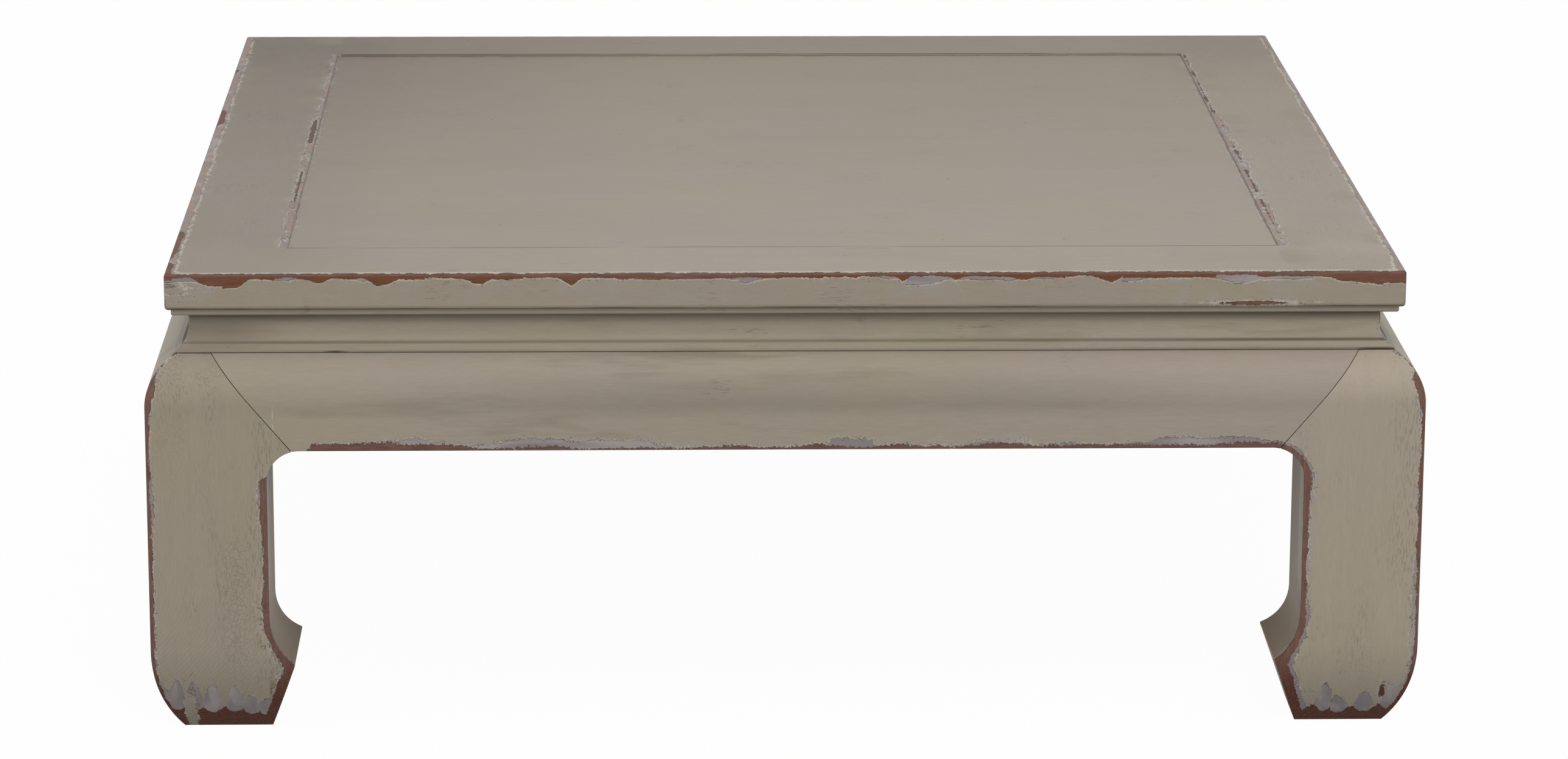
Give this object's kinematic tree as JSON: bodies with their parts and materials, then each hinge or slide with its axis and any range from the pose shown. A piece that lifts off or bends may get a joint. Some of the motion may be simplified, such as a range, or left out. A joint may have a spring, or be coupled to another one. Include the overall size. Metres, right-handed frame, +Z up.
{
  "type": "kang table",
  "caption": "Low square waisted table with a mitred frame top, floating panel, swelling aprons and inward-turned hoof feet.",
  "frame": {"origin": "on the floor under the centre of the top", "axes": "+Z up, +X to the table's right, +Y to its back"},
  "size_m": [1.033, 1.033, 0.382],
  "materials": {
    "painted_wood": "satin grey-beige paint over a lavender-grey undercoat, rubbed through to red-brown wood along the edges",
    "bare_wood": "unpainted, stained red-brown, matt"
  },
  "bodies": {
    "root": {"top_rail_front": "painted_wood", "top_rail_back": "painted_wood", "top_rail_left": "painted_wood", "top_rail_right": "painted_wood", "top_panel": "painted_wood", "batten_left": "bare_wood", "batten_middle": "bare_wood", "batten_right": "bare_wood", "waist_front": "painted_wood", "waist_back": "painted_wood", "waist_left": "painted_wood", "waist_right": "painted_wood", "ledge_front": "painted_wood", "ledge_back": "painted_wood", "ledge_left": "painted_wood", "ledge_right": "painted_wood", "apron_front": "painted_wood", "apron_back": "painted_wood", "apron_left": "painted_wood", "apron_right": "painted_wood", "leg_front_left": "painted_wood", "leg_front_right": "painted_wood", "leg_back_left": "painted_wood", "leg_back_right": "painted_wood"}
  },
  "joints": []
}
